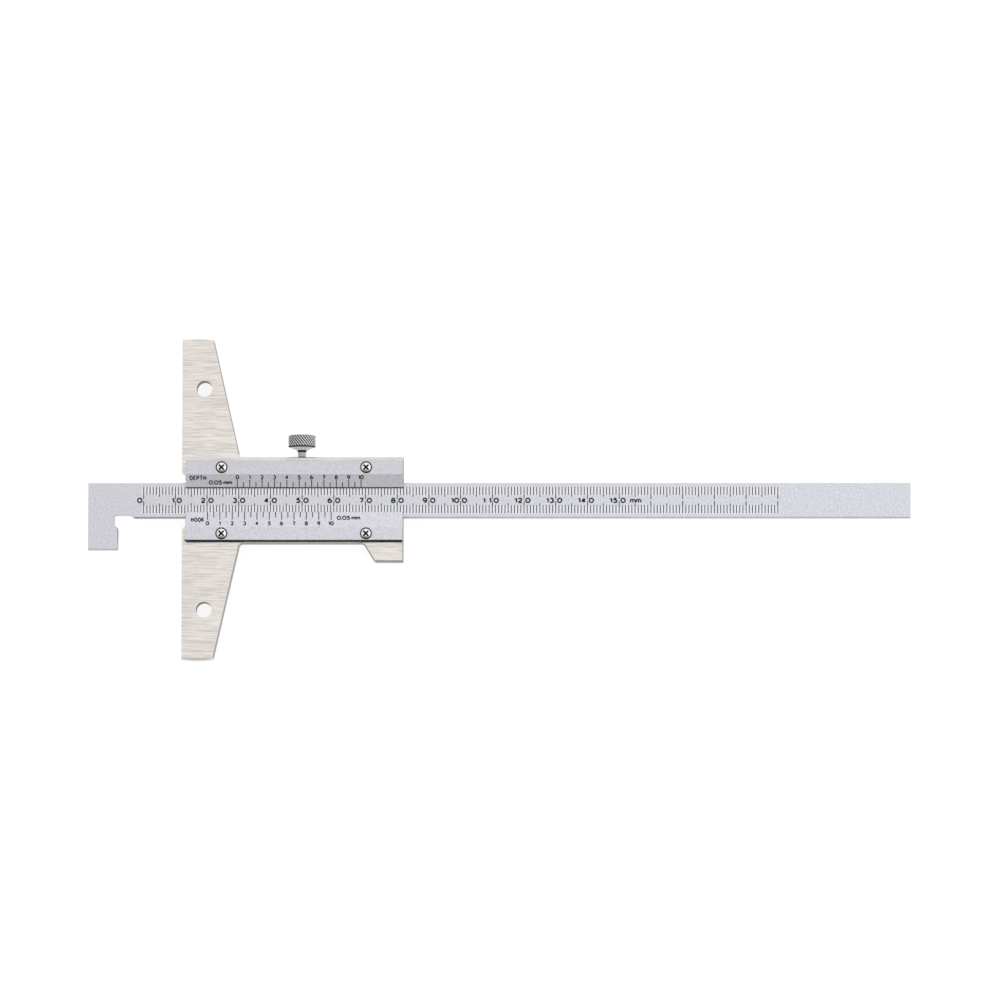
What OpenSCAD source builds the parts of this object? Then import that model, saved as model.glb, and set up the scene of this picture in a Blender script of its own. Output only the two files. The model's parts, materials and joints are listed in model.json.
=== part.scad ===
// Hook-end vernier depth gauge, lying on its back.
// X runs along the beam with the hook at -X, Y across it, and Z up from the back to the graduated face.
// The origin is midway between the two extension-base holes, on the back face.

/* [Beam] */
// Length of the beam, from its tip to its plain end
beam_length = 259.3; // [235:0.1:320]
// Width of the beam
beam_width = 11; // [10:0.1:12]
// Thickness of the beam
beam_thick = 4; // [3:0.1:4.4]
// Bevel along the beam's edges
beam_bevel = 0.25; // [0.1:0.05:0.4]
// How far the tip stands out of the measuring face, as set at rest
depth_shown = 29.6; // [20:0.1:150]

/* [Hook] */
// Thickness of the hook, from the tip to its inner face
hook_thick = 9.4; // [8:0.1:12]
// Reach of the hook below the beam
hook_drop = 10.1; // [8:0.1:14]
// Depth to which the relief in the hook's inner corner cuts into the hook
notch_depth = 1.2; // [0.8:0.1:1.6]
// Depth to which that relief cuts into the beam
notch_rise = 0.9; // [0.6:0.1:1.4]
// Length of the relief along the beam, before it slopes out
notch_along = 4; // [2:0.1:6]
// Length of the relief down the hook, before it slopes out
notch_down = 2.1; // [1:0.1:3]

/* [Main scale] */
// Distance from the beam's tip to the zero line
scale_zero = 17.5; // [16:0.1:20]
// Length of the main scale
scale_length = 200; // [150:10:210]
// Spacing of the main scale's lines
scale_pitch = 1; // [1:1:2]
// Plain strip between the beam's upper edge and the upper lines
upper_margin = 1.2; // [0.8:0.1:1.4]
// Plain strip between the beam's lower edge and the lower lines
lower_margin = 1.4; // [0.8:0.1:1.6]
// Length of a millimetre line
line_short = 2.6; // [2:0.1:3]
// Length of every fifth line
line_five = 3.15; // [3:0.05:3.5]
// Length of every tenth line
line_ten = 3.85; // [3.5:0.05:4]
// Width of an engraved line
line_width = 0.18; // [0.08:0.01:0.2]
// Depth of an engraved line
line_depth = 0.05; // [0.03:0.01:0.1]

/* [Verniers] */
// Length of each vernier scale
vernier_span = 39; // [19:1:39]
// Divisions on each vernier scale
vernier_divisions = 20; // [10:10:20]
// Length of a numbered vernier line
vernier_long = 2.5; // [2:0.1:3]
// Length of the vernier lines between the numbers
vernier_short = 1.75; // [1:0.05:2]

/* [Base] */
// Length of the measuring face, tip to tip
base_width = 101.6; // [92:0.1:160]
// How far the wings' middle lies above the beam's, which leaves room for the gib
base_offset = 0.4; // [0:0.05:0.8]
// Thickness of the base and slider
base_thick = 6.5; // [6:0.1:9]
// Length of the slider, from the measuring face to its end
body_length = 69.8; // [66:0.1:90]
// Width of the slider
body_width = 27.2; // [27:0.1:32]
// How far the slider's middle lies above the beam's
body_offset = 0.15; // [0:0.05:0.4]
// Width of each wing at its tip
wing_tip = 9.9; // [9:0.1:14]
// Width of each wing where it meets the slider
wing_root = 18.2; // [16:0.1:22]
// How far each wing's end bulges
wing_crown = 0.3; // [0.1:0.1:0.8]
// Bevel around the base and slider
base_bevel = 0.3; // [0.1:0.05:0.5]
// Rounding of the wings' outer corners
wing_round = 0.8; // [0.5:0.1:1.5]
// Fillet where the wings and the tail meet the slider
root_fillet = 1; // [0.6:0.1:2]
// Depth of the relief in the measuring face around the beam
face_relief = 1; // [0.5:0.1:1.5]
// Width of that relief beyond each edge of the beam
relief_margin = 2.8; // [2:0.1:4]
// Slope at the relief's corners
relief_slope = 0.6; // [0.2:0.1:1]

/* [Tail] */
// Reach of the tail below the slider
tail_drop = 5.8; // [4:0.1:9]
// Length of the tail along its lower edge
tail_length = 9; // [7:0.1:14]
// How much longer the tail is where it meets the slider
tail_slope = 3.6; // [2:0.1:6]
// Rounding of the tail's inner corner
tail_round = 1.2; // [0.5:0.1:2]

/* [Extension holes] */
// Distance between the two holes for an extension base
hole_spacing = 70; // [60:0.5:80]
// Distance of those holes from the measuring face
hole_inset = 7; // [6:0.1:7.5]
// Radius of those holes
hole_radius = 2.5; // [2:0.1:2.7]

/* [Vernier plates] */
// Thickness of each vernier plate
plate_thick = 1.6; // [1.4:0.1:2.5]
// Thickness left at the plate's graduated edge
plate_lip = 0.5; // [0.3:0.05:0.8]
// How far the depth plate reaches over the beam
depth_overlap = 1.6; // [1:0.1:2]
// How far the hook plate reaches over the beam
hook_overlap = 1.8; // [1:0.1:2]
// Width of the depth plate's sloping graduated strip
depth_slope = 4.25; // [4:0.05:4.8]
// Width of the hook plate's sloping graduated strip
hook_slope = 4.85; // [4:0.05:4.9]
// Strip of the slider left bare beyond the depth plate
depth_margin = 1.2; // [0.5:0.1:1.5]
// Strip of the slider left bare beyond the hook plate
hook_margin = 0.8; // [0.5:0.1:1.5]
// Gap between the relieved measuring face and the start of each plate
plate_start_gap = 0.3; // [0:0.1:0.5]
// Gap between the end of each plate and that of the slider
plate_end_gap = 0.1; // [0:0.1:1]
// Bevel of the plate's outer edge
plate_bevel = 0.1; // [0.05:0.05:0.3]

/* [Plate screws] */
// Distance of each plate's first screw from the start of the plate
plate_screw_inset = 11.2; // [8:0.1:12]
// Distance between the two screws of a plate
plate_screw_span = 45.6; // [36:0.1:48]
// Radius of the screw's head
head_radius = 1.8; // [1.5:0.05:1.85]
// Height of the screw's head
head_height = 1.05; // [0.9:0.05:1.3]
// Radius of the dome on the head
dome_radius = 2.6; // [2.4:0.1:6]
// Depth to which the head is sunk in its plate
head_sink = 0.5; // [0.3:0.05:0.7]
// Radius of the screw's shank
shank_radius = 1; // [0.8:0.05:1.2]
// Length of the screw's shank in the slider
shank_length = 3.5; // [2:0.1:4]
// Length of the cross recess across its arms
cross_length = 2.2; // [1.6:0.1:2.4]
// Width of the cross recess
cross_width = 0.42; // [0.3:0.02:0.6]
// Depth of the cross recess
cross_depth = 0.6; // [0.4:0.05:0.8]

/* [Clamp] */
// Distance of the clamp screw from the measuring face
clamp_at = 37.75; // [34:0.05:40]
// Radius of the knurled head
knob_radius = 4.35; // [3.5:0.05:4.4]
// Length of the knurled head
knob_length = 3.9; // [3:0.1:6]
// Bevel at the ends of the knurled head
knob_bevel = 0.3; // [0.2:0.05:0.5]
// Teeth around the knurled head
knurl_count = 30; // [20:2:40]
// Depth of the knurl
knurl_depth = 0.22; // [0.1:0.02:0.3]
// Clear length of neck between the slider and the head's cone
neck_length = 2.3; // [1:0.05:5]
// Height of the cone under the head
cone_height = 0.85; // [0.4:0.05:1.5]
// Width of the step between that cone and the head's bevel
cone_step = 0.15; // [0.05:0.05:0.3]
// Radius of the clamp screw's neck and thread
thread_radius = 1.25; // [1:0.05:1.5]
// Radius of the collar at the top of the neck
collar_radius = 1.6; // [1.55:0.05:2.2]
// Height of the flare below the collar
collar_flare = 0.7; // [0.4:0.05:0.9]
// Radius of the clamp screw's point, which turns in the gib
point_radius = 0.9; // [0.6:0.05:0.95]
// Length of the clamp screw's point
point_length = 0.4; // [0.2:0.05:0.6]

/* [Gib] */
// Thickness of the gib
gib_thick = 1; // [0.8:0.05:1.5]
// Gap between the gib and the beam with the clamp loose
gib_gap = 0.2; // [0.15:0.05:0.4]
// Distance of the gib's ends from the slider's ends
gib_end_gap = 2; // [1:0.1:5]
// Distance of each gib screw from the nearest plate screw
gib_screw_offset = 8; // [5:0.1:10]
// Length of a gib screw
gib_screw_length = 5; // [3:0.1:6]
// Width of a gib screw's slot
gib_slot_width = 0.5; // [0.3:0.05:0.7]
// Depth of a gib screw's slot
gib_slot_depth = 0.8; // [0.4:0.1:1.2]

/* [Fits] */
// Clearance between the beam and what guides it
slide_fit = 0.05; // [0.02:0.01:0.1]
// Radial clearance of a screw in its thread
thread_fit = 0.02; // [0.01:0.01:0.05]
// Radial clearance of a screw in the plate that it holds
plate_fit = 0.15; // [0.05:0.05:0.3]

/* [Hidden] */
$fn = 64;

// Extra length by which a cut passes the surface it starts from
cut = 1;
// Depth by which one shape of a turned piece runs into the next
merge = 0.2;
// Steps in which an outline's rounded corner is drawn
corner_steps = 6;
// Steps in which a wing's bulging end is drawn
crown_steps = 8;
// Rings of the knurl along the head
knurl_rows = 7;

beam_half = beam_width / 2;
body_high = body_offset + body_width / 2;
body_low = body_offset - body_width / 2;
base_half = base_width / 2;
beam_low = base_thick - slide_fit - beam_thick;
beam_mid = beam_low + beam_thick / 2;
channel_floor = beam_low - slide_fit;
channel_low = -beam_half - slide_fit;
gib_low = beam_half + gib_gap;
channel_high = gib_low + gib_thick + slide_fit;
screw_seat = gib_low + gib_thick + thread_fit;

relief_half = beam_half + relief_margin;
tip_bevel = wing_crown + base_bevel / 2;
plate_start = face_relief + plate_start_gap;
plate_end = body_length - plate_end_gap;
depth_lip = beam_half - depth_overlap;
hook_lip = beam_half - hook_overlap;
// Distances of each plate's lip, the top of its slope and its outer edge from the beam's middle
depth_edges = [depth_lip, depth_lip + depth_slope, body_high - depth_margin];
hook_edges = [hook_lip, hook_lip + hook_slope, -body_low - hook_margin];
first_screw = plate_start + plate_screw_inset;
plate_screw_x = [first_screw, first_screw + plate_screw_span];
sink_radius = head_radius + plate_fit;
head_seat = base_thick + plate_thick - head_sink;
gib_screw_x = [plate_screw_x[0] + gib_screw_offset, plate_screw_x[1] - gib_screw_offset];

// The depth vernier reads zero with the tip flush with the measuring face
depth_zero = scale_zero;
// The hook vernier reads zero with the hook's face against it
hook_zero = scale_zero - hook_thick;

// Middle of a plate's flat strip, where its screws stand
function screw_line(edges) = (edges[1] + edges[2]) / 2;
plate_screw_y = [screw_line(depth_edges), -screw_line(hook_edges)];

// Outlines are lists of corners, counter-clockwise.
// Each is [x, y, rounding radius, whether the edge after it is bevelled].
function unit(v) = v / norm(v);
function xy(corner) = [corner[0], corner[1]];
function before(corners, i) = xy(corners[(i + len(corners) - 1) % len(corners)]);
function after(corners, i) = xy(corners[(i + 1) % len(corners)]);
function half_angle(corners, i) =
    acos(unit(before(corners, i) - xy(corners[i])) * unit(after(corners, i) - xy(corners[i]))) / 2;
function is_hollow(corners, i) =
    cross(xy(corners[i]) - before(corners, i), after(corners, i) - xy(corners[i])) < 0;
function turned(start, end) = let (a = end - start) a > 180 ? a - 360 : a < -180 ? a + 360 : a;

// How far from a rounded corner its arc begins
function tangent(corners, i) =
    corners[i][2] == 0 ? 0 : corners[i][2] / tan(half_angle(corners, i));

function arc(corners, i) =
    let (
        at = xy(corners[i]),
        radius = corners[i][2],
        u = unit(before(corners, i) - at),
        v = unit(after(corners, i) - at),
        centre = at + unit(u + v) * radius / sin(half_angle(corners, i)),
        first = at + u * tangent(corners, i) - centre,
        last = at + v * tangent(corners, i) - centre,
        start = atan2(first.y, first.x),
        sweep = turned(start, atan2(last.y, last.x))
    )
    [for (k = [0:corner_steps])
        let (angle = start + sweep * k / corner_steps)
        centre + radius * [cos(angle), sin(angle)]];

function outline(corners) =
    [for (i = [0:len(corners) - 1]) each corners[i][2] == 0 ? [xy(corners[i])] : arc(corners, i)];

// What a bevel takes off the lower and upper edge of a plate, along a line with the plate on its left
module edge_bevel(from, to, thick, bevel) {
    along = to - from;
    past = bevel;
    translate(from)
        rotate([0, 0, atan2(along.y, along.x)])
            for (upper = [0, 1])
                translate([0, 0, upper * thick])
                    mirror([0, 0, 1 - upper])
                        rotate([90, 0, 90])
                            linear_extrude(norm(along))
                                polygon([[bevel + past, past], [-past, -bevel - past], [-past, past]]);
}

// A flat plate of that outline with the marked edges bevelled, which stops short of a hollow corner's fillet
module bevelled(corners, thick, bevel) {
    n = len(corners);
    difference() {
        linear_extrude(thick) polygon(outline(corners));
        for (i = [0:n - 1])
            if (corners[i][3] == 1) {
                next = (i + 1) % n;
                from = xy(corners[i]);
                to = xy(corners[next]);
                trim_from = is_hollow(corners, i) ? tangent(corners, i) : 0;
                trim_to = is_hollow(corners, next) ? tangent(corners, next) : 0;
                edge_bevel(from + unit(to - from) * trim_from, to - unit(to - from) * trim_to, thick, bevel);
            }
    }
}

// Everything is drawn from the measuring face and the beam's middle
// This moves it to put the origin between the extension holes
module placed() {
    translate([-hole_inset, -base_offset, 0]) children();
}

// A turned piece that stands along +Y, at a place along the slider and half way up the beam
module across(x) {
    translate([x, 0, beam_mid]) rotate([-90, 0, 0]) children();
}

module scale_line(x, y_from, length) {
    translate([x - line_width / 2, y_from, 0]) square([line_width, length]);
}

function line_length(i) = i % 10 == 0 ? line_ten : i % 5 == 0 ? line_five : line_short;

module main_scale() {
    top = beam_half - upper_margin;
    bottom = -beam_half + lower_margin;
    for (i = [0:scale_length / scale_pitch]) {
        length = line_length(i);
        scale_line(scale_zero + i * scale_pitch, top - length, length);
        scale_line(scale_zero + i * scale_pitch, bottom, length);
    }
}

module beam_bar() {
    slope_end = hook_thick + notch_along + notch_depth;
    inner = hook_thick - notch_depth;
    bevelled(
        [
            [0, beam_half, 0, 1],
            [0, -beam_half - hook_drop, 0, 1],
            [hook_thick, -beam_half - hook_drop, 0, 1],
            [hook_thick, -beam_half - notch_down - notch_depth, 0, 0],
            [inner, -beam_half - notch_down, 0, 0],
            [inner, -beam_half + notch_rise, 0, 0],
            [hook_thick + notch_along, -beam_half + notch_rise, 0, 0],
            [slope_end, -beam_half, 0, 1],
            [beam_length, -beam_half, 0, 1],
            [beam_length, beam_half, 0, 1],
        ],
        beam_thick,
        beam_bevel
    );
}

module main_beam() {
    color("#cfcfd6")
    placed()
    translate([-depth_shown, 0, beam_low])
    difference() {
        beam_bar();
        translate([0, 0, beam_thick - line_depth]) linear_extrude(cut) main_scale();
    }
}

function crown_points(side) =
    [for (i = [1:crown_steps - 1])
        let (t = side * (2 * i / crown_steps - 1))
        [wing_tip * (1 + t) / 2, base_offset - side * (base_half - wing_crown * t * t), 0, 0]];

module base_block() {
    tip_high = base_offset + base_half - wing_crown;
    tip_low = base_offset - base_half + wing_crown;
    tail_low = body_low - tail_drop;
    tail_start = body_length - tail_length;
    difference() {
        bevelled(
            [
                [0, tip_low, 0, 0],
                each crown_points(1),
                [wing_tip, tip_low, wing_round, 1],
                [wing_root, body_low, root_fillet, 1],
                [tail_start - tail_slope, body_low, root_fillet, 1],
                [tail_start, tail_low, tail_round, 1],
                [body_length, tail_low, 0, 1],
                [body_length, body_high, 0, 1],
                [wing_root, body_high, root_fillet, 1],
                [wing_tip, tip_high, wing_round, 0],
                each crown_points(-1),
                [0, tip_high, 0, 0],
                [0, relief_half + relief_slope, 0, 0],
                [face_relief, relief_half, 0, 0],
                [face_relief, -relief_half, 0, 0],
                [0, -relief_half - relief_slope, 0, 0],
            ],
            base_thick,
            base_bevel
        );
        translate([0, base_offset, 0]) {
            edge_bevel([0, -base_half], [wing_tip, -base_half], base_thick, tip_bevel);
            edge_bevel([wing_tip, base_half], [0, base_half], base_thick, tip_bevel);
        }
    }
}

module base_body() {
    rail_hole = body_high - channel_high;
    color("#d8d3cc")
    placed()
    difference() {
        base_block();
        translate([-cut, channel_low, channel_floor])
            cube([body_length + 2 * cut, channel_high - channel_low, base_thick]);
        for (side = [-1, 1])
            translate([hole_inset, base_offset + side * hole_spacing / 2, -cut])
                cylinder(r = hole_radius, h = base_thick + 2 * cut);
        for (x = plate_screw_x, y = plate_screw_y)
            translate([x, y, base_thick - shank_length - slide_fit])
                cylinder(r = shank_radius + thread_fit, h = shank_length + cut);
        for (x = [gib_screw_x[0], clamp_at, gib_screw_x[1]])
            across(x)
                translate([0, 0, channel_high - cut])
                    cylinder(r = thread_radius + thread_fit, h = rail_hole + 2 * cut);
    }
}

// Section of a vernier plate across the beam: flat strip outside, sloping down to a lip over the beam
module plate_section(edges) {
    lip = edges[0];
    outer = edges[2];
    polygon([
        [lip, 0],
        [outer, 0],
        [outer, plate_thick - plate_bevel],
        [outer - plate_bevel, plate_thick],
        [edges[1], plate_thick],
        [lip, plate_lip],
    ]);
}

// Lines of a vernier, cut square to its sloping strip from the lip outwards
module vernier_lines(zero, edges) {
    numbered = vernier_divisions / 10;
    slope_angle = atan2(plate_thick - plate_lip, edges[1] - edges[0]);
    for (i = [0:vernier_divisions]) {
        length = i % numbered == 0 ? vernier_long : vernier_short;
        translate([zero + i * vernier_span / vernier_divisions, edges[0], plate_lip])
            rotate([slope_angle, 0, 0])
                translate([-line_width / 2, -cut, -line_depth])
                    cube([line_width, cut + length / cos(slope_angle), cut]);
    }
}

module vernier_plate(zero, edges) {
    translate([0, 0, base_thick])
    difference() {
        translate([plate_start, 0, 0])
            rotate([90, 0, 90])
                linear_extrude(plate_end - plate_start) plate_section(edges);
        vernier_lines(zero, edges);
        for (x = plate_screw_x)
            translate([x, screw_line(edges), 0]) {
                translate([0, 0, -cut]) cylinder(r = shank_radius + plate_fit, h = plate_thick + 2 * cut);
                translate([0, 0, plate_thick - head_sink]) cylinder(r = sink_radius, h = head_sink + cut);
            }
    }
}

module depth_vernier_plate() {
    color("#b9bac3") placed() vernier_plate(depth_zero, depth_edges);
}

module hook_vernier_plate() {
    color("#d3d3da") placed() mirror([0, 1, 0]) vernier_plate(hook_zero, hook_edges);
}

// Small domed screw with a cross recess, standing on its head's seat at z = 0
module plate_screw() {
    difference() {
        union() {
            intersection() {
                cylinder(r = head_radius, h = head_height);
                translate([0, 0, head_height - dome_radius]) sphere(r = dome_radius);
            }
            translate([0, 0, -shank_length - plate_thick + head_sink])
                cylinder(r = shank_radius, h = shank_length + plate_thick - head_sink + merge);
        }
        for (turn = [45, 135])
            rotate([0, 0, turn])
                translate([-cross_length / 2, -cross_width / 2, head_height - cross_depth])
                    cube([cross_length, cross_width, cross_depth + cut]);
    }
}

module plate_screws() {
    color("#9a9a98")
    placed()
    for (x = plate_screw_x, y = plate_screw_y)
        translate([x, y, head_seat]) plate_screw();
}

// Spring strip between the upper rail and the beam, with a seat for the clamp screw's point
module gib_plate() {
    color("#b08d57")
    placed()
    difference() {
        translate([gib_end_gap, gib_low, beam_low])
            cube([body_length - 2 * gib_end_gap, gib_thick, beam_thick]);
        across(clamp_at)
            translate([0, 0, screw_seat - point_length - slide_fit])
                cylinder(r = point_radius + slide_fit, h = point_length + cut);
    }
}

// Headless slotted screws that set the gib
module gib_screws() {
    color("#8b8b8b")
    placed()
    for (x = gib_screw_x)
        across(x)
            translate([0, 0, screw_seat])
                difference() {
                    cylinder(r = thread_radius, h = gib_screw_length);
                    translate([-thread_radius - cut, -gib_slot_width / 2, gib_screw_length - gib_slot_depth])
                        cube([2 * (thread_radius + cut), gib_slot_width, gib_slot_depth + cut]);
                }
}

// Diamond knurl: rings of points, peak and hollow by turns, with each ring a step round from the one below
module knurled_head() {
    n = 2 * knurl_count;
    last = knurl_rows + 1;
    root = knob_radius - knurl_depth;
    function radius(row, i) =
        row == 0 || row == last ? root - knob_bevel : (row + i) % 2 == 0 ? knob_radius : root;
    function height(row) =
        row == 0 ? 0
            : row == last ? knob_length
            : knob_bevel + (knob_length - 2 * knob_bevel) * (row - 1) / (knurl_rows - 1);
    function at(row, i) = row * n + i % n;
    polyhedron(
        points = [for (row = [0:last], i = [0:n - 1])
            [radius(row, i) * cos(360 * i / n), radius(row, i) * sin(360 * i / n), height(row)]],
        faces = [
            [for (i = [0:n - 1]) i],
            [for (i = [n - 1:-1:0]) at(last, i)],
            for (row = [0:last - 1], i = [0:n - 1])
                each (row + i) % 2 == 0
                    ? [[at(row, i), at(row + 1, i), at(row, i + 1)],
                       [at(row, i + 1), at(row + 1, i), at(row + 1, i + 1)]]
                    : [[at(row, i), at(row + 1, i), at(row + 1, i + 1)],
                       [at(row, i), at(row + 1, i + 1), at(row, i + 1)]],
        ]
    );
}

module clamp_screw() {
    collar = body_high + neck_length;
    head_low = collar + cone_height;
    core_top = head_low + knob_length / 2;
    cone_radius = knob_radius - knurl_depth - knob_bevel - cone_step;
    color("#8f8f8f")
    placed()
    across(clamp_at) {
        rotate_extrude()
            polygon([
                [0, screw_seat - point_length],
                [point_radius, screw_seat - point_length],
                [point_radius, screw_seat],
                [thread_radius, screw_seat],
                [thread_radius, collar - collar_flare],
                [collar_radius, collar],
                [cone_radius, head_low],
                [thread_radius, head_low],
                [thread_radius, core_top],
                [0, core_top],
            ]);
        translate([0, 0, head_low]) knurled_head();
    }
}

main_beam();
base_body();
depth_vernier_plate();
hook_vernier_plate();
plate_screws();
gib_plate();
gib_screws();
clamp_screw();
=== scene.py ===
# Looks for the vernier depth gauge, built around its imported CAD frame.
# Lengths are in millimetres, and noise scales in cells to the metre.
import json
import math

import bmesh
import bpy
from mathutils import Matrix, Vector


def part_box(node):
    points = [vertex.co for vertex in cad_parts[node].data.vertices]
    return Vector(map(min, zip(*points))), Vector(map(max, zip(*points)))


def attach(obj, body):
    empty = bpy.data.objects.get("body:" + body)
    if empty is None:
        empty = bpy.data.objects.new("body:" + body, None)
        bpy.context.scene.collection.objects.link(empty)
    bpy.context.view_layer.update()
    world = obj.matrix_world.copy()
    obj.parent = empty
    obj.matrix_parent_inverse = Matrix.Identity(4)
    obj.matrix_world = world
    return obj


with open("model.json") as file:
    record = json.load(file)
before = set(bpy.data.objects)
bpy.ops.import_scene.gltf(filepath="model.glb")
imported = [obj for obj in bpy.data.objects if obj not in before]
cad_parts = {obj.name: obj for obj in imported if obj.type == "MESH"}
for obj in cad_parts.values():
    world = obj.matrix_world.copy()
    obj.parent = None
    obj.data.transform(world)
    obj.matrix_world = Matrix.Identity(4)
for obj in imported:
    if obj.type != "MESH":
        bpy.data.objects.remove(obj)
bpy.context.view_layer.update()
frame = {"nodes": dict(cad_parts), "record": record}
nodes = frame["nodes"]
MM = 0.001

# The beam and its scale
BEAM_Y = -0.4
BEAM_TOP = 6.45
BEAM_HALF = 5.5
ZERO_X = -19.1
SCALE_MM = 200
NUMBERED_TO = 150
UPPER_MARGIN = 1.2
LOWER_MARGIN = 1.4
# How long every tenth, fifth and other line is
LINE_LENGTHS = {10: 3.85, 5: 3.15, 1: 2.6}
GROOVE_DEPTH = 0.05

# The base, and the vernier plates on it
BASE_TOP = 6.5
BASE_END_X = 62.7
HOLE_Y = 35
PLATE_THICK = 1.6
PLATE_LIP = 0.5
PLATE_END_X = 62.62
HOOK_PLATE_EDGE_Y = -13
DEPTH_ZERO_X = 10.5
HOOK_ZERO_X = 1.1
VERNIER_STEP = 1.95
VERNIER_LINES = 20
VERNIER_LONG = 2.5
VERNIER_SHORT = 1.75

# The paint: half a line's width, how far paint stands out of the metal, and how deep the figures' paint goes
LINE_HALF = 0.14
INK_PROUD = 0.006
INK_SUNK = 0.02


# Camera, with its roll in radians

CAMERA_AT = Vector((180, -385.16, 4000)) * MM
CAMERA_AIM = Vector((93.314, -0.237, 6)) * MM
CAMERA_ROLL = 0.0019
SENSOR = 36
LENS = 458.22


def make_camera():
    data = bpy.data.cameras.new("photo_camera")
    data.sensor_width = SENSOR
    data.lens = LENS
    camera = bpy.data.objects.new("photo_camera", data)
    bpy.context.scene.collection.objects.link(camera)
    back = (CAMERA_AT - CAMERA_AIM).normalized()
    right = Vector((0, 1, 0)).cross(back).normalized()
    up = back.cross(right)
    turned_right = right * math.cos(CAMERA_ROLL) + up * math.sin(CAMERA_ROLL)
    turned_up = up * math.cos(CAMERA_ROLL) - right * math.sin(CAMERA_ROLL)
    rotation = Matrix((turned_right, turned_up, back)).transposed().to_4x4()
    camera.matrix_world = Matrix.Translation(CAMERA_AT) @ rotation
    bpy.context.scene.camera = camera


make_camera()


# Node helpers

def add(tree, kind, inputs=None, **settings):
    """A new node. Each input is a socket to link from, or a plain value."""
    made = tree.nodes.new(kind)
    for key, value in settings.items():
        setattr(made, key, value)
    for key, value in (inputs or {}).items():
        if isinstance(value, bpy.types.NodeSocket):
            tree.links.new(value, made.inputs[key])
        else:
            made.inputs[key].default_value = value
    return made


def calc(tree, operation, *values):
    """A math node on the first two values, and one more on its result for each further value."""
    result = add(tree, "ShaderNodeMath", dict(enumerate(values[:2])), operation=operation).outputs[0]
    return calc(tree, operation, result, *values[2:]) if len(values) > 2 else result


def vector_calc(tree, operation, *vectors):
    return add(tree, "ShaderNodeVectorMath", dict(enumerate(vectors)), operation=operation).outputs


def split_axes(tree, vector):
    return add(tree, "ShaderNodeSeparateXYZ", {0: vector}).outputs


def noise(tree, place, scale, detail=2.0, rough=0.5):
    stretched = add(tree, "ShaderNodeMapping", {"Vector": place, "Scale": scale}).outputs["Vector"]
    inputs = {"Vector": stretched, "Scale": 1.0, "Detail": detail, "Roughness": rough}
    return add(tree, "ShaderNodeTexNoise", inputs).outputs["Fac"]


def spread(tree, value, low, high, to_low=0.0, to_high=1.0):
    """Maps low to to_low and high to to_high, and goes no further."""
    inputs = {"Value": value, "From Min": low, "From Max": high, "To Min": to_low, "To Max": to_high}
    return add(tree, "ShaderNodeMapRange", inputs, clamp=True).outputs["Result"]


def ramp(tree, value, start, full):
    """0 at start and 1 at full, in millimetres. Start may be the higher one."""
    return spread(tree, value, start * MM, full * MM)


def between(tree, value, start, full, last, end):
    """1 from full to last, falling to 0 at start and end, in millimetres."""
    return calc(tree, "MULTIPLY", ramp(tree, value, start, full), ramp(tree, value, end, last))


def rgba(colour):
    return (*colour, 1.0)


def grey(tone):
    return (tone,) * 3


# Sockets of a Mix node that mixes colours
MIX_FACTOR = 0
MIX_FIRST = 6
MIX_SECOND = 7
MIX_RESULT = 2


def blend_colour(tree, factor, first, second, how="MIX"):
    first, second = (rgba(c) if isinstance(c, tuple) else c for c in (first, second))
    inputs = {MIX_FACTOR: factor, MIX_FIRST: first, MIX_SECOND: second}
    return add(tree, "ShaderNodeMix", inputs, data_type="RGBA", blend_type=how).outputs[MIX_RESULT]


def start_material(name, roughness, metallic):
    """A new material. The plain roughness and metallic hold wherever nothing is linked over them."""
    material = bpy.data.materials.new(name)
    material.use_nodes = True
    tree = material.node_tree
    shader = tree.nodes["Principled BSDF"]
    shader.inputs["Metallic"].default_value = metallic
    shader.inputs["Roughness"].default_value = roughness
    place = add(tree, "ShaderNodeTexCoord").outputs["Object"]
    return material, tree, shader, place


def finish_material(tree, shader, colour, roughness, height, strength, distance, normal=None):
    """Links the colour, the roughness and a bump, which lies over the normal if one is given."""
    tree.links.new(colour, shader.inputs["Base Color"])
    tree.links.new(roughness, shader.inputs["Roughness"])
    bump = add(tree, "ShaderNodeBump", {"Height": height, "Strength": strength, "Distance": distance * MM})
    if normal is not None:
        tree.links.new(normal, bump.inputs["Normal"])
    tree.links.new(bump.outputs["Normal"], shader.inputs["Normal"])


# Parts of a noise's range: most of it, its middle, and its darker side
WIDE = (0.3, 0.7)
MIDDLE = (0.35, 0.65)
DARKER = (0.34, 0.6)
# Detail and roughness of a fine, rough noise
ROUGH = (3.0, 0.7)
# How alike the rounded and the plain normal are where an edge's wear and painted highlight start, and where
# they are full
WEAR_AND_HIGHLIGHT_FROM = 0.97
WEAR_AND_HIGHLIGHT_FULL = 0.8


def edge_wear(tree, radius):
    """Normal rounded over the edges, and a mask that is 1 on them, for their wear and painted highlight."""
    rounded = add(tree, "ShaderNodeBevel", {"Radius": radius * MM}, samples=6).outputs[0]
    plain = add(tree, "ShaderNodeNewGeometry").outputs["Normal"]
    alike = vector_calc(tree, "DOT_PRODUCT", rounded, plain)["Value"]
    return rounded, spread(tree, alike, WEAR_AND_HIGHLIGHT_FROM, WEAR_AND_HIGHLIGHT_FULL)


def shut_in(tree, reach, low, high):
    """1 where the surface lies in a corner or recess of that reach, and 0 where it is open beyond high."""
    open_to = add(tree, "ShaderNodeAmbientOcclusion", {"Distance": reach * MM}, samples=8).outputs["AO"]
    return spread(tree, open_to, high, low)


# The specular level where the metal's shine is taken away, and the colour of the painted shade, shadow and
# dirt on the flat parts
MATT_GLOSS = 0.1
PAINTED_SHADE_BLACK = (0.02, 0.019, 0.018)


def make_matt(tree, shader, mask):
    """Takes the metal's shine away where the mask is 1."""
    shader.inputs["Specular IOR Level"].default_value = MATT_GLOSS
    tree.links.new(calc(tree, "SUBTRACT", 1.0, mask), shader.inputs["Metallic"])
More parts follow.
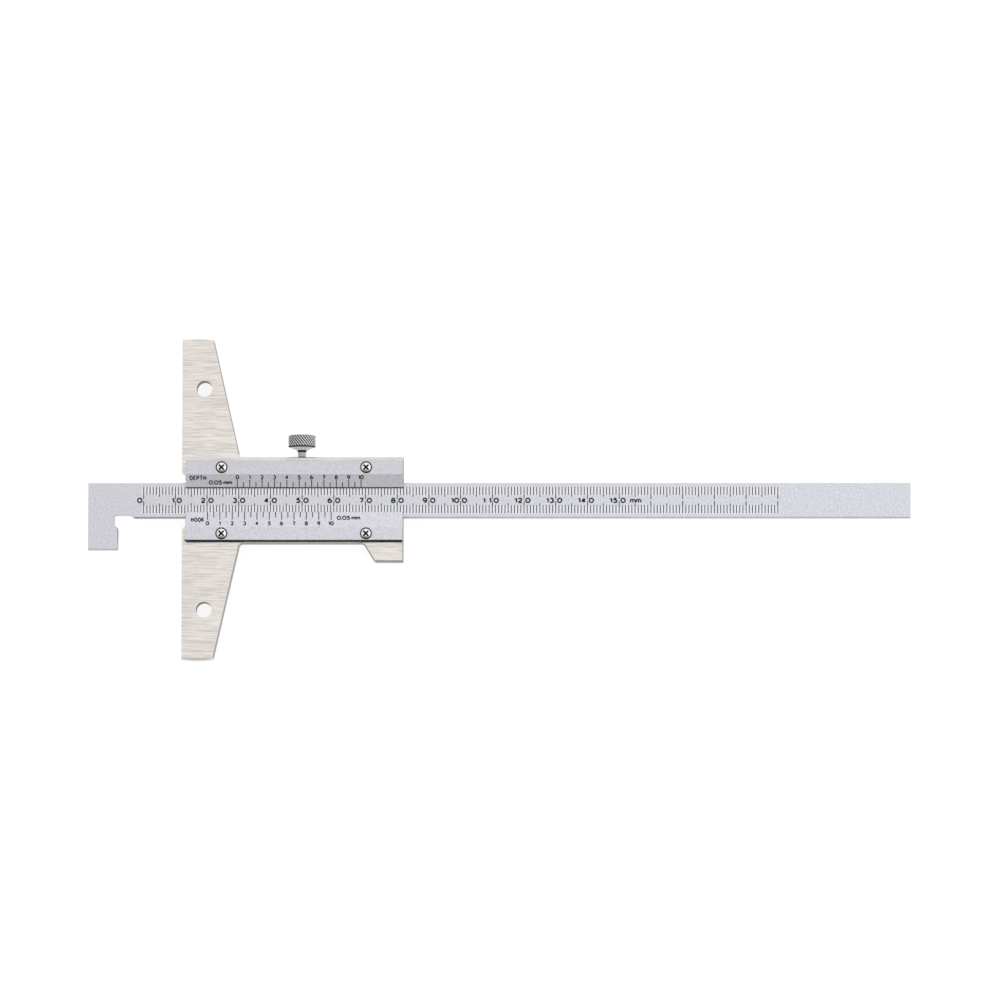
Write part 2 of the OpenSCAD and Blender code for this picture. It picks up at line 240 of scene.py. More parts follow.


# Where the painted shade on the duller flanks, the painted shadow under the lip, the painted shade in the
# hook's throat and a rubbed strip are: the start, full, last full and end of each mask
FLANKS_Y = (13.7, 13.8, 50, 50.4)
RUBBED_Y = (12.1, 12.2, 13.3, 13.4)
LIP_Y = (3.3, 3.4, 3.68, 3.84)
THROAT_X = (-29.5, -28.5, -20, 30)
THROAT_Y = (-15.9, -12, -5.4, -5)
# The distance within which an end face turns dull and takes its painted shade
END_BLEND = 0.06
# How dark the painted shade is on the dull sides, on the walls of the extension holes and on the beam's side
# in the hook's throat
SIDE_SHADE = 0.55
HOLE_WALL_SHADE = 0.85
THROAT_SHADE_DARK = 0.45
# A little more than the extension holes' radius
HOLE_REACH = 2.56


def corner_dirt(tree, axes):
    """Painted shadow, with dirt, in the corner along the hook plate's outer edge, on its lower side only."""
    low_side = ramp(tree, axes["Y"], HOOK_PLATE_EDGE_Y + 0.4, HOOK_PLATE_EDGE_Y)
    on_top = ramp(tree, axes["Z"], BASE_TOP - 0.3, BASE_TOP - 0.15)
    return calc(tree, "MULTIPLY", shut_in(tree, 0.9, 0.86, 0.95), low_side, on_top)


def base_side_dirt(tree, axes):
    """Painted shade: duller, darker sides on the slider's end and the flanks away from the hook, and on the
    walls of the extension holes.
    """
    below_top = ramp(tree, axes["Z"], BASE_TOP - 0.08, BASE_TOP - 0.14)
    off_middle = calc(tree, "ABSOLUTE", axes["Y"])
    end = ramp(tree, axes["X"], BASE_END_X, BASE_END_X + END_BLEND)
    flank = calc(tree, "MULTIPLY", between(tree, off_middle, *FLANKS_Y), ramp(tree, axes["X"], 1, 2))
    side = calc(tree, "MULTIPLY", calc(tree, "MAXIMUM", end, flank), SIDE_SHADE)
    from_hole = calc(tree, "SUBTRACT", off_middle, HOLE_Y * MM)
    squares = [calc(tree, "MULTIPLY", value, value) for value in (from_hole, axes["X"])]
    from_axis = calc(tree, "SQRT", calc(tree, "ADD", *squares))
    wall = calc(tree, "MULTIPLY", ramp(tree, from_axis, HOLE_REACH + 0.02, HOLE_REACH), HOLE_WALL_SHADE)
    return calc(tree, "MULTIPLY", below_top, calc(tree, "MAXIMUM", wall, side))


def plate_dirt(tree, axes):
    """Painted shade low on the hook plate's outer side, a painted shadow under the depth plate's lip, and
    painted shade on both plates' far ends.
    """
    on_side = ramp(tree, axes["Y"], HOOK_PLATE_EDGE_Y, HOOK_PLATE_EDGE_Y - 0.04)
    low_down = ramp(tree, axes["Z"], BASE_TOP + 0.9, BASE_TOP + 0.6)
    outer_side = calc(tree, "MULTIPLY", on_side, low_down)
    lip = between(tree, axes["Y"], *LIP_Y)
    end = ramp(tree, axes["X"], PLATE_END_X, PLATE_END_X + END_BLEND)
    return calc(tree, "MAXIMUM", outer_side, lip, calc(tree, "MULTIPLY", end, SIDE_SHADE))


def throat_dirt(tree, axes):
    """Painted shade on the beam's side from the hook's throat on, fading out along the beam."""
    along = between(tree, axes["X"], *THROAT_X)
    below_top = ramp(tree, axes["Z"], BEAM_TOP - 0.03, BEAM_TOP - 0.07)
    return calc(tree, "MULTIPLY", along, below_top, between(tree, axes["Y"], *THROAT_Y), THROAT_SHADE_DARK)


def scale_bands(tree, axes):
    """1 in the two bands of the main scale, where the metal between the lines is rubbed bright."""
    from_middle = calc(tree, "ABSOLUTE", calc(tree, "SUBTRACT", axes["Y"], BEAM_Y * MM))
    rows = between(tree, from_middle, 1.5, 1.8, 4.15, 4.4)
    first = ZERO_X
    last = ZERO_X + SCALE_MM
    along = between(tree, axes["X"], first - 0.9, first - 0.3, last + 0.3, last + 0.9)
    return calc(tree, "MULTIPLY", rows, along)


# Materials

def ground_steel(name):
    """Warm ground steel with grinding lines along X."""
    material, tree, shader, place = start_material(name, 0.36, 1.0)
    lines = noise(tree, place, (140, 3000, 3000), *ROUGH)
    bands = noise(tree, place, (40, 700, 700))
    patches = noise(tree, place, (45, 70, 70))
    axes = split_axes(tree, place)
    colour = blend_colour(tree, spread(tree, patches, *MIDDLE), (0.80, 0.74, 0.71), (0.82, 0.78, 0.74))
    colour = blend_colour(tree, spread(tree, bands, *MIDDLE, 0.0, 0.12), colour, (0.89, 0.85, 0.81))
    colour = blend_colour(tree, spread(tree, lines, *DARKER, 0.65, 0.0), colour, (0.46, 0.425, 0.40))
    rubbed = calc(tree, "MULTIPLY", between(tree, axes["Y"], *RUBBED_Y), 0.4)
    colour = blend_colour(tree, rubbed, colour, (0.68, 0.67, 0.70))
    # Lighter edges: wear, and a painted highlight
    normal, wear_and_highlight = edge_wear(tree, 0.12)
    colour = blend_colour(tree, wear_and_highlight, colour, (0.92, 0.9, 0.87))
    # Painted shadow and dirt in the corner by the hook plate, and painted shade on the sides and hole walls,
    # dark and matt
    dirt_and_shade = calc(tree, "MAXIMUM", corner_dirt(tree, axes), base_side_dirt(tree, axes))
    colour = blend_colour(tree, dirt_and_shade, colour, PAINTED_SHADE_BLACK)
    make_matt(tree, shader, dirt_and_shade)
    roughness = spread(tree, lines, *WIDE, 0.43, 0.31)
    finish_material(tree, shader, colour, roughness, lines, 0.22, 0.02, normal)
    return material


def satin_chrome(name, base, light, wear_and_highlight_tone, towards, painted_shade_of, bands=False):
    """Matt chrome with a fine speckle, that goes from one tone to another along the given direction as
    painted light and shade, and takes the given painted shade.
    """
    material, tree, shader, place = start_material(name, 0.4, 1.0)
    speckle = noise(tree, place, (1700,) * 3, *ROUGH)
    drift = noise(tree, place, (26, 60, 60))
    axes = split_axes(tree, place)
    # The tone goes from one colour to the other along the given direction: painted light and shade
    along = vector_calc(tree, "DOT_PRODUCT", place, towards)["Value"]
    lighter = calc(tree, "ADD", along, spread(tree, drift, *WIDE, -0.15, 0.15))
    colour = blend_colour(tree, spread(tree, lighter, 0.0, 1.0), base, light)
    dark = tuple(0.7 * c for c in base)
    colour = blend_colour(tree, spread(tree, speckle, *DARKER, 0.6, 0.0), colour, dark)
    if bands:
        colour = blend_colour(tree, calc(tree, "MULTIPLY", scale_bands(tree, axes), 0.5), colour, wear_and_highlight_tone)
    # Lighter edges: wear, and a painted highlight
    normal, wear_and_highlight = edge_wear(tree, 0.1)
    colour = blend_colour(tree, wear_and_highlight, colour, wear_and_highlight_tone)
    # Painted shade and shadow, dark and matt
    dirt_and_shade = painted_shade_of(tree, axes)
    colour = blend_colour(tree, dirt_and_shade, colour, PAINTED_SHADE_BLACK)
    make_matt(tree, shader, dirt_and_shade)
    roughness = spread(tree, speckle, *WIDE, 0.45, 0.36)
    finish_material(tree, shader, colour, roughness, speckle, 0.12, 0.01, normal)
    return material


# Scale, detail and roughness of the noise in turned metal, and the strength and depth of its bump
TURNING = ((1500,) * 3, 3.0, 0.6)
TURNING_BUMP = (0.08, 0.01)
# How round the turned edges are, and how much of their wear and painted highlight shows
TURNED_EDGE = 0.06
TURNED_WEAR_AND_HIGHLIGHT = 0.5

# The clamp screw's knurl: teeth around, how far its first ring stands from the top, and the step to the next
KNURL_TEETH = 30
KNURL_FIRST = 4.15
KNURL_STEP = 0.55
# Its bands, measured down from the top of its head: the start, full, last full and end of each mask
KNURLED = (0.02, 0.05, 3.8, 3.9)
# The rim, flare, neck and foot take painted shade
RIM_SHADE = (3.42, 3.55, 3.88, 3.92)
# The cone's band takes a painted reflection, bright and matt
CONE_REFLECTION_BAND = (3.9, 3.94, 4.72, 4.76)
FLARE_SHADE = (4.74, 4.8, 5.35, 5.6)
# Where the painted shade on its neck and on its foot starts and is full, and how dark it is on the neck, all
# round
NECK_SHADE = (5.3, 5.4)
FOOT_SHADE = (6.7, 6.85)
NECK_DARK = 0.52


def turned_steel(name):
    """The clamp screw: dark stripes along one way of its knurl, which are dirt in the grooves and painted
    shade on the facets, a matt bright cone that is a painted reflection, and painted shade on the rim, flare,
    neck and foot.
    """
    material, tree, shader, place = start_material(name, 0.45, 1.0)
    low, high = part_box("clamp_screw")
    centre = (low + high) / 2
    axes = split_axes(tree, vector_calc(tree, "SUBTRACT", place, (centre.x, 0, centre.z))["Vector"])
    from_top = calc(tree, "SUBTRACT", high.y, axes["Y"])
    turn = calc(tree, "ARCTAN2", calc(tree, "MULTIPLY", axes["Z"], -1.0), axes["X"])
    tooth = calc(tree, "MULTIPLY", turn, KNURL_TEETH / math.pi)
    row = calc(tree, "DIVIDE", calc(tree, "SUBTRACT", KNURL_FIRST * MM, from_top), KNURL_STEP * MM)
    phase = calc(tree, "MULTIPLY", calc(tree, "ADD", tooth, row), 0.5)
    groove_dirt_and_shade = spread(tree, calc(tree, "PINGPONG", phase, 0.5), 0.17, 0.24)
    # Dark stripes along one way of the knurl: dirt in the grooves, and painted shade on the facets. Painted
    # shade on the rim, flare, neck and foot
    dirty_and_shaded_places = (
        calc(tree, "MULTIPLY", groove_dirt_and_shade, between(tree, from_top, *KNURLED)),
        between(tree, from_top, *RIM_SHADE),
        between(tree, from_top, *FLARE_SHADE),
        calc(tree, "MULTIPLY", ramp(tree, from_top, *NECK_SHADE), NECK_DARK),
        ramp(tree, from_top, *FOOT_SHADE),
    )
    dirt_and_shade = calc(tree, "MAXIMUM", *dirty_and_shaded_places)
    # The cone's bright matt colour is a painted reflection
    cone_reflection = between(tree, from_top, *CONE_REFLECTION_BAND)

    turning = noise(tree, place, *TURNING)
    darker = spread(tree, turning, *MIDDLE, 0.3, 0.0)
    colour = blend_colour(tree, darker, (0.99, 0.98, 0.96), (0.75, 0.74, 0.72))
    # Lighter edges: wear, and a painted highlight
    normal, wear_and_highlight = edge_wear(tree, TURNED_EDGE)
    colour = blend_colour(tree, calc(tree, "MULTIPLY", wear_and_highlight, TURNED_WEAR_AND_HIGHLIGHT), colour, (0.97, 0.96, 0.94))
    colour = blend_colour(tree, cone_reflection, colour, (0.97, 0.96, 0.95))
    # Dirt and painted shade go nearly black
    colour = blend_colour(tree, dirt_and_shade, colour, (0.012, 0.011, 0.01))
    make_matt(tree, shader, calc(tree, "MAXIMUM", dirt_and_shade, cone_reflection))
    roughness = spread(tree, turning, *WIDE, 0.26, 0.4)
    finish_material(tree, shader, colour, roughness, turning, *TURNING_BUMP, normal)
    return material


# Where the plate screws stand: their middle, half their spacing, and the centre and radius of their domes
SCREWS_MIDDLE = (28.3, -0.525, 6.05)
SCREWS_HALF = (22.8, 10.475, 0)
DOME_RADIUS = 2.6
# The cross in a plate screw's head: half an arm's width, and the arm's reach
CROSS_HALF = 0.28
CROSS_REACH = 1.15
DIAGONAL = math.sqrt(2)
# Painted shade rings its head from this radius on
RIM_RADIUS = 1.48
RIM_BLEND = 0.06


def screw_dirt(tree, place):
    """Painted shade: 1 in and around the cross recess of a plate screw, below its dome and all round its rim.
    """
    middle = tuple(c * MM for c in SCREWS_MIDDLE)
    half = tuple(c * MM for c in SCREWS_HALF)
    from_middle = vector_calc(tree, "SUBTRACT", place, middle)["Vector"]
    folded = vector_calc(tree, "ABSOLUTE", from_middle)["Vector"]
    from_dome = vector_calc(tree, "SUBTRACT", folded, half)["Vector"]
    radius = vector_calc(tree, "LENGTH", from_dome)["Value"]
    below_dome = ramp(tree, radius, DOME_RADIUS - 0.015, DOME_RADIUS - 0.04)
    level = vector_calc(tree, "MULTIPLY", from_dome, (1, 1, 0))["Vector"]
    from_axis = vector_calc(tree, "LENGTH", level)["Value"]
    rim = ramp(tree, from_axis, RIM_RADIUS - RIM_BLEND, RIM_RADIUS + RIM_BLEND)
    axes = split_axes(tree, from_dome)
    across = [calc(tree, "ABSOLUTE", calc(tree, how, axes["X"], axes["Y"])) for how in ("ADD", "SUBTRACT")]
    nearest = calc(tree, "MINIMUM", *across)
    furthest = calc(tree, "MAXIMUM", *across)
    on_arm = ramp(tree, nearest, (CROSS_HALF + 0.03) * DIAGONAL, (CROSS_HALF - 0.03) * DIAGONAL)
    in_reach = ramp(tree, furthest, (CROSS_REACH + 0.05) * DIAGONAL, (CROSS_REACH - 0.05) * DIAGONAL)
    return calc(tree, "MAXIMUM", rim, below_dome, calc(tree, "MULTIPLY", on_arm, in_reach))


def bright_metal(name, base, dirt_and_shade, roughness, hollow_of=None, reach=0.3):
    """Turned metal, dark in its corners and recesses with dirt and painted shade."""
    material, tree, shader, place = start_material(name, roughness, 1.0)
    turning = noise(tree, place, *TURNING)
    # Dirt and painted shade in corners and recesses, and on the plate screws
    hollow = shut_in(tree, reach, 0.35, 0.75)
    if hollow_of:
        hollow = calc(tree, "MAXIMUM", hollow, hollow_of(tree, place))
    darker = tuple(0.75 * c for c in base)
    colour = blend_colour(tree, spread(tree, turning, *MIDDLE, 0.25, 0.0), base, darker)
    # Lighter edges: wear, and a painted highlight
    normal, wear_and_highlight = edge_wear(tree, TURNED_EDGE)
    colour = blend_colour(tree, calc(tree, "MULTIPLY", wear_and_highlight, TURNED_WEAR_AND_HIGHLIGHT), colour, (0.9, 0.89, 0.87))
    colour = blend_colour(tree, hollow, colour, dirt_and_shade)
    roughness = spread(tree, hollow, 0.0, 1.0, roughness, 0.7)
    finish_material(tree, shader, colour, roughness, turning, *TURNING_BUMP, normal)
    return material


def ink():
    """Black paint left in the engraving, a little uneven."""
    material, tree, shader, place = start_material("engraving_black", 0.6, 0.0)
    uneven = noise(tree, place, (1300,) * 3)
    colour = blend_colour(tree, spread(tree, uneven, *MIDDLE), (0.008, 0.008, 0.01), (0.025, 0.025, 0.03))
    roughness = spread(tree, uneven, *WIDE, 0.5, 0.75)
    finish_material(tree, shader, colour, roughness, uneven, 0.1, 0.01)
    return material


# The beam grows lighter towards +X: painted light. Its worn edges, with a painted highlight, and its rubbed
# scale bands take the lightest tone
BEAM_CHROME = {
    "base": (0.67, 0.67, 0.715),
    "light": (0.7, 0.71, 0.765),
    "wear_and_highlight_tone": (0.86, 0.87, 0.91),
    "towards": (6, 0, 0),
    "painted_shade_of": throat_dirt,
    "bands": True,
}
# The depth plate, towards +Y, is darker than the hook plate: painted shade. Its worn edges take the lightest
# tone, with a painted highlight
PLATE_CHROME = {
    "base": (0.69, 0.685, 0.745),
    "light": (0.61, 0.605, 0.65),
    "wear_and_highlight_tone": (0.9, 0.9, 0.93),
    "towards": (0, 60, 0),
    "painted_shade_of": plate_dirt,
}
# Plate screws: dark in the cross recess and round the rim with painted shade
NICKEL = {"base": (0.96, 0.955, 0.93), "dirt_and_shade": grey(0.01), "roughness": 0.12, "hollow_of": screw_dirt}
BRONZE = {"base": (0.62, 0.45, 0.22), "dirt_and_shade": (0.16, 0.11, 0.05), "roughness": 0.38}
SCREW_STEEL = {"base": (0.5, 0.49, 0.48), "dirt_and_shade": (0.05, 0.045, 0.04), "roughness": 0.35, "reach": 0.5}
# Each slot's material: what makes it, and with which settings
LOOKS = {
    "beam_satin_chrome": (satin_chrome, BEAM_CHROME),
    "base_ground_steel": (ground_steel, {}),
    "plate_satin_chrome": (satin_chrome, PLATE_CHROME),
    "screw_nickel": (bright_metal, NICKEL),
    "gib_bronze": (bright_metal, BRONZE),
    "screw_steel": (bright_metal, SCREW_STEEL),
    "knurled_steel": (turned_steel, {}),
}
MATERIALS = {name: make(name, **settings) for name, (make, settings) in LOOKS.items()}
INK = ink()


def dress_nodes():
    for part in frame["record"]["subparts"]:
        data = nodes[part["node"]].data
        material = MATERIALS[part["material_slot"]]
        if not data.materials:
            data.materials.append(material)
        for i in range(len(data.materials)):
            data.materials[i] = material


dress_nodes()


# Lettering, as strokes in a cell 1 high: each letter's width and its lines

ARC_STEPS = 14
RING_STEPS = 28


def bow(x, y, across, high, start, end, steps=ARC_STEPS):
    """Points of an elliptic arc, angles in degrees."""
    angles = [math.radians(start + (end - start) * i / steps) for i in range(steps + 1)]
    return [(x + across * math.cos(a), y + high * math.sin(a)) for a in angles]


def ring(x, y, across, high):
    return bow(x, y, across, high, 90, 450, RING_STEPS)


GLYPHS = {
    "0": (0.98, [ring(0.49, 0.5, 0.49, 0.5)]),
    "1": (0.34, [[(0.0, 0.74), (0.34, 1.0), (0.34, 0.0)]]),
    "2": (0.8, [bow(0.39, 0.7, 0.37, 0.3, 172, -38) + [(0.0, 0.0), (0.8, 0.0)]]),
    "3": (0.8, [bow(0.38, 0.755, 0.33, 0.245, 155, -90) + bow(0.38, 0.265, 0.42, 0.265, 80, -158)]),
    "4": (0.86, [[(0.62, 0.0), (0.62, 1.0), (0.0, 0.27), (0.86, 0.27)]]),
    "5": (0.8, [[(0.74, 1.0), (0.16, 1.0), (0.09, 0.55)] + bow(0.38, 0.32, 0.42, 0.32, 132, -156)]),
    "6": (0.84, [ring(0.42, 0.3, 0.42, 0.3), bow(0.66, 0.33, 0.66, 0.67, 180, 96)]),
    "7": (0.8, [[(0.0, 1.0), (0.8, 1.0), (0.3, 0.0)]]),
    "8": (0.84, [ring(0.42, 0.755, 0.34, 0.245), ring(0.42, 0.265, 0.42, 0.265)]),
    "9": (0.84, [ring(0.42, 0.7, 0.42, 0.3), bow(0.18, 0.67, 0.66, 0.67, 0, -84)]),
    "m": (1.02, [
        [(0.0, 0.0), (0.0, 0.72)],
        bow(0.26, 0.46, 0.25, 0.24, 180, 0) + [(0.51, 0.0)],
        bow(0.77, 0.46, 0.25, 0.24, 180, 0) + [(1.02, 0.0)],
    ]),
    ".": (0.05, [[(0.0, 0.0), (0.05, 0.0)]]),
    " ": (0.14, []),
    "D": (0.64, [
        [(0.0, 0.0), (0.0, 1.0), (0.24, 1.0)] + bow(0.24, 0.5, 0.4, 0.5, 90, -90) + [(0.0, 0.0)],
    ]),
    "E": (0.52, [[(0.52, 1.0), (0.0, 1.0), (0.0, 0.0), (0.52, 0.0)], [(0.0, 0.52), (0.42, 0.52)]]),
    "P": (0.56, [
        [(0.0, 0.0), (0.0, 1.0), (0.28, 1.0)] + bow(0.28, 0.73, 0.28, 0.27, 90, -90) + [(0.0, 0.46)],
    ]),
    "T": (0.62, [[(0.0, 1.0), (0.62, 1.0)], [(0.31, 1.0), (0.31, 0.0)]]),
    "H": (0.6, [[(0.0, 0.0), (0.0, 1.0)], [(0.6, 0.0), (0.6, 1.0)], [(0.0, 0.5), (0.6, 0.5)]]),
    "O": (0.72, [ring(0.36, 0.5, 0.36, 0.5)]),
    "K": (0.58, [[(0.0, 0.0), (0.0, 1.0)], [(0.56, 1.0), (0.0, 0.4)], [(0.2, 0.6), (0.58, 0.0)]]),
}
SHARP_TURN = math.radians(35)
CAP_STEPS = 6
SAME_POINT = 1e-6
# Each stroke of a letter lies this much below the one before, so that no two faces coincide
LAYER_STEP = 0.0002


def heading(start, end):
    return math.atan2(end[1] - start[1], end[0] - start[0])


def split_at_corners(points):
    """Cuts a line where it turns sharply, so that its pieces meet in round ends."""
    lines = [[points[0]]]
    for before, at, after in zip(points, points[1:], points[2:]):
        lines[-1].append(at)
        turn = heading(at, after) - heading(before, at)
        if abs(math.remainder(turn, math.tau)) > SHARP_TURN:
            lines.append([at])
    lines[-1].append(points[-1])
    return lines


def normal_at(points, i, closed):
    """A line's normal at one of its points. A closed line's last point is its first."""
    last = len(points) - 1
    before = points[i - 1] if i > 0 else points[last - 1 if closed else 0]
    after = points[i + 1] if i < last else points[1 if closed else last]
    return (Vector(after) - Vector(before)).orthogonal().normalized()


def bridge(bm, first, second):
    """A closed strip of faces between two loops of as many points."""
    count = len(first)
    for i in range(count):
        following = (i + 1) % count
        bm.faces.new((first[i], first[following], second[following], second[i]))


def lay_stroke(bm, points, closed, half, to_place, top, bottom):
    """A flat painted stroke with its top, bottom and sides, and with round ends if it is open."""
    left, right = [
        [Vector(p) + sign * half * normal_at(points, i, closed) for i, p in enumerate(points)]
        for sign in (1, -1)
    ]

    def cap(centre, start):
        first = heading(centre, start)
        angles = [first + math.pi * k / CAP_STEPS for k in range(1, CAP_STEPS)]
        return [Vector((centre[0] + half * math.cos(a), centre[1] + half * math.sin(a))) for a in angles]

    def level(loop, z):
        return [bm.verts.new(to_place @ Vector((*p, z))) for p in loop]

    if closed:
        loops = [left[:-1], right[:-1]]
    else:
        loops = [right[::-1] + cap(points[0], right[0])[::-1] + left + cap(points[-1], left[-1])[::-1]]
    made = [(level(loop, top), level(loop, bottom)) for loop in loops]
    for upper, lower in made:
        bridge(bm, upper, lower)
    if closed:
        for inner, outer in zip(*made):
            bridge(bm, inner, outer)
    else:
        for loop in made[0]:
            bm.faces.new(loop)


def lay_word(bm, word, centre, lettering, to_place, squeeze=1.0):
    """Writes a word centred there, in letters of that height, stroke and gap over the paint."""
    height, stroke, gap = lettering
    tall = height - stroke
    wide = tall * squeeze
    x = centre[0] - (sum(GLYPHS[letter][0] for letter in word) * wide + gap * (len(word) - 1)) / 2
    y = centre[1] - tall / 2
    for letter in word:
        width, lines = GLYPHS[letter]
        level = 0
        for line in lines:
            placed = [(x + px * wide, y + py * tall) for px, py in line]
            is_ring = math.dist(line[0], line[-1]) < SAME_POINT and len(line) > RING_STEPS
            for run in [placed] if is_ring else split_at_corners(placed):
                top = INK_PROUD - LAYER_STEP * level
                lay_stroke(bm, run, is_ring, stroke / 2, to_place, top, -INK_SUNK)
                level += 1
        x += width * wide + gap


BOX_FACES = ((0, 2, 3, 1), (4, 5, 7, 6), (0, 1, 5, 4), (2, 6, 7, 3), (0, 4, 6, 2), (1, 3, 7, 5))


def add_box(bm, low, high, to_place):
    xs, ys, zs = zip(low, high)
    corners = [bm.verts.new(to_place @ Vector((x, y, z))) for z in zs for y in ys for x in xs]
    for face in BOX_FACES:
        bm.faces.new([corners[i] for i in face])


def make_piece(name, bm, body):
    bmesh.ops.scale(bm, vec=(MM, MM, MM), verts=bm.verts)
    bmesh.ops.recalc_face_normals(bm, faces=bm.faces)
    data = bpy.data.meshes.new(name)
    bm.to_mesh(data)
    bm.free()
    piece = bpy.data.objects.new(name, data)
    bpy.context.scene.collection.objects.link(piece)
    data.materials.append(INK)
    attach(piece, body)


# Paint in the main scale's grooves, and its figures

ON_BEAM = Matrix.Translation((ZERO_X, BEAM_Y, BEAM_TOP))


def line_length(i):
    return next(length for step, length in LINE_LENGTHS.items() if i % step == 0)


def main_scale():
    top = BEAM_HALF - UPPER_MARGIN
    bottom = -BEAM_HALF + LOWER_MARGIN
    bm = bmesh.new()
    for i in range(SCALE_MM + 1):
        length = line_length(i)
        for low_y, high_y in ((top - length, top), (bottom, bottom + length)):
            add_box(bm, (i - LINE_HALF, low_y, -GROOVE_DEPTH), (i + LINE_HALF, high_y, INK_PROUD), ON_BEAM)
    make_piece("main_scale_ink", bm, "beam")


# Height, stroke and gap of the main scale's lettering
MAIN_FIGURES = (1.78, 0.47, 0.42)
MAIN_UNIT = (1.78, 0.4, 0.42)
# Centres of a number's figures from its line: the last one stands to the right of it
UNITS_AT = 1.22
TENS_AT = -1.24
TENS_ONE_AT = -0.74
HUNDREDS_AT = -2.6
# The lone nought before the first line, and the unit after the last number
NOUGHT_AT = -1.26
MM_AT = 5.2


def main_figures():
    bm = bmesh.new()

    def figure(text, x, lettering=MAIN_FIGURES):
        lay_word(bm, text, (x, 0), lettering, ON_BEAM)

    figure("0", NOUGHT_AT)
    for number in range(10, NUMBERED_TO + 1, 10):
        tens = str(number)[-2]
        figure("0", number + UNITS_AT)
        figure(tens, number + (TENS_ONE_AT if tens == "1" else TENS_AT))
        if number >= 100:
            figure("1", number + HUNDREDS_AT)
    figure("mm", NUMBERED_TO + MM_AT, MAIN_UNIT)
    make_piece("main_scale_figures", bm, "beam")


main_scale()
main_figures()


# Verniers: each plate's slope has its own plane, with its origin on the lip's edge at the zero line

# Height, stroke and gap of their lettering, and how narrow their figures are
VERNIER_FIGURES = (1.45, 0.37, 0.36)
VERNIER_WORD = (1.58, 0.35, 0.42)
VERNIER_UNIT = (1.45, 0.37, 0.3)
FIGURE_SQUEEZE = 0.78


def slope_plane(zero_x, lip, width, side):
    """The slope's plane, and the cosine of its rise."""
    rise = math.atan2(PLATE_THICK - PLATE_LIP, width)
    up = Vector((0, math.cos(rise), side * math.sin(rise)))
    out = Vector((0, -side * math.sin(rise), math.cos(rise)))
    turn = Matrix((Vector((1, 0, 0)), up, out)).transposed().to_4x4()
    return Matrix.Translation((zero_x, BEAM_Y + side * lip, BASE_TOP + PLATE_LIP)) @ turn, math.cos(rise)


def vernier(name, zero_x, lip, width, side, figures_at, word, word_at, unit_at):
    """One vernier's paint. The word and the unit each have an x, a y and a squeeze."""
    plane, lean = slope_plane(zero_x, lip, width, side)
    bm = bmesh.new()
    for i in range(VERNIER_LINES + 1):
        reach = (VERNIER_LONG if i % 2 == 0 else VERNIER_SHORT) / lean
        x = i * VERNIER_STEP
        near, far = sorted((0.0, side * reach))
        add_box(bm, (x - LINE_HALF, near, -GROOVE_DEPTH), (x + LINE_HALF, far, INK_PROUD), plane)
    make_piece(name + "_scale_ink", bm, "slider")

    bm = bmesh.new()

    def write(text, x, y, squeeze, lettering):
        lay_word(bm, text, (x - zero_x, side * (abs(y) - lip) / lean), lettering, plane, squeeze)

    for i in range(0, VERNIER_LINES + 1, 2):
        write(str(i // 2), zero_x + i * VERNIER_STEP, figures_at, FIGURE_SQUEEZE, VERNIER_FIGURES)
    write(word, *word_at, VERNIER_WORD)
    write("0.05 mm", *unit_at, VERNIER_UNIT)
    make_piece(name + "_figures", bm, "slider")


vernier(
    "depth_vernier",
    DEPTH_ZERO_X,
    lip=3.9,
    width=4.25,
    side=1,
    figures_at=7.21,
    word="DEPTH",
    word_at=(-1.95, 7.0, 0.9),
    unit_at=(5.15, 5.59, 0.98),
)
vernier(
    "hook_vernier",
    HOOK_ZERO_X,
    lip=3.7,
    width=4.85,
    side=-1,
    figures_at=-7.39,
    word="HOOK",
    word_at=(-2.05, -6.22, 0.8),
    unit_at=(45.6, -5.6, 0.98),
)


# Floor, world and lamp, with the floor's size and the lamp's place and size in metres

FLOOR_SIZE = 8
FLOOR_AT = (0.1, 0, -0.05 * MM)
FLOOR_GLOW = 0.89
LAMP_AT = Vector((0.25, 0.55, 1.5))
LAMP_AIM = Vector((0.09, 0, 0))
LAMP_SIZE = 0.3
LAMP_POWER = 0.8


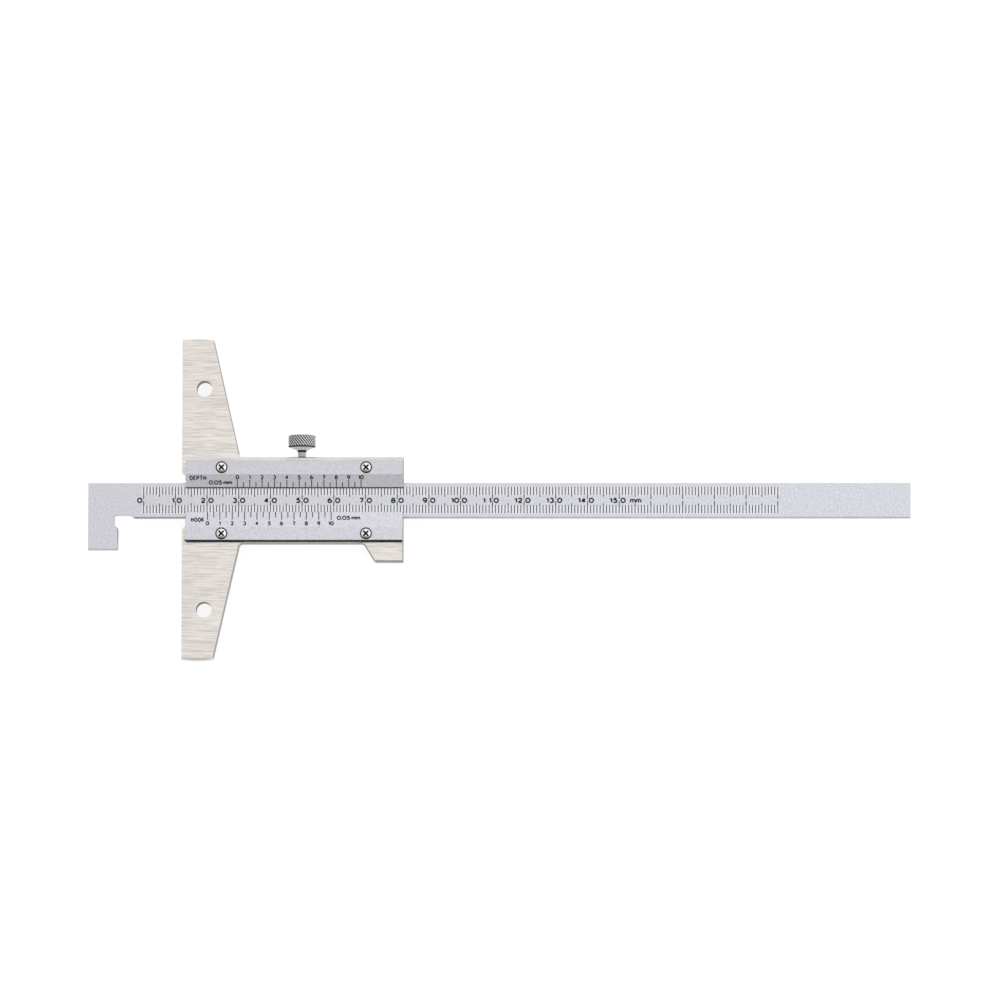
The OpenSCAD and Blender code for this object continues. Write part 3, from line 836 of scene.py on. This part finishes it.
def make_floor():
    """White to the camera and in the metal's reflections, and a plain pale floor to all other light."""
    bpy.ops.mesh.primitive_plane_add(size=FLOOR_SIZE, location=FLOOR_AT)
    floor = bpy.context.object
    floor.name = "floor"
    material = bpy.data.materials.new("floor_white")
    material.use_nodes = True
    tree = material.node_tree
    tree.nodes.remove(tree.nodes["Principled BSDF"])
    path = add(tree, "ShaderNodeLightPath").outputs
    plain = add(tree, "ShaderNodeBsdfDiffuse", {"Color": rgba(grey(0.9))})
    dim = add(tree, "ShaderNodeBsdfDiffuse", {"Color": rgba(grey(0.2))})
    glow = add(tree, "ShaderNodeEmission", {"Color": rgba(grey(1)), "Strength": FLOOR_GLOW})
    seen = add(tree, "ShaderNodeAddShader", {0: dim.outputs[0], 1: glow.outputs[0]})
    rays = (path["Is Camera Ray"], path["Is Glossy Ray"], path["Is Transmission Ray"])
    shows = calc(tree, "MAXIMUM", *rays)
    last = add(tree, "ShaderNodeMixShader", {0: shows, 1: plain.outputs[0], 2: seen.outputs[0]})
    tree.links.new(last.outputs[0], tree.nodes["Material Output"].inputs["Surface"])
    floor.data.materials.append(material)


def make_world():
    """Soft light all round, a little stronger from +X, with a darker field above the horizon towards -Y."""
    world = bpy.data.worlds.new("studio")
    bpy.context.scene.world = world
    world.use_nodes = True
    tree = world.node_tree
    background = tree.nodes["Background"]
    axes = split_axes(tree, add(tree, "ShaderNodeTexCoord").outputs["Generated"])
    front = spread(tree, axes["Y"], -0.78, -0.3)
    side = spread(tree, axes["X"], -0.6, 0.4, 0.83, 1.08)
    tone = blend_colour(tree, front, grey(0.18), grey(1))
    tone = blend_colour(tree, 1.0, tone, side, "MULTIPLY")
    tone = blend_colour(tree, spread(tree, axes["Z"], 0.08, 0.16), grey(0.9), tone)
    tree.links.new(tone, background.inputs["Color"])
    background.inputs["Strength"].default_value = 1.0


def make_lamp():
    data = bpy.data.lights.new("overhead", "AREA")
    data.shape = "DISK"
    data.size = LAMP_SIZE
    data.energy = LAMP_POWER
    lamp = bpy.data.objects.new("overhead", data)
    bpy.context.scene.collection.objects.link(lamp)
    lamp.location = LAMP_AT
    lamp.rotation_euler = (LAMP_AT - LAMP_AIM).to_track_quat("Z", "Y").to_euler()


make_floor()
make_world()
make_lamp()

scene = bpy.context.scene
scene.view_settings.view_transform = "Standard"
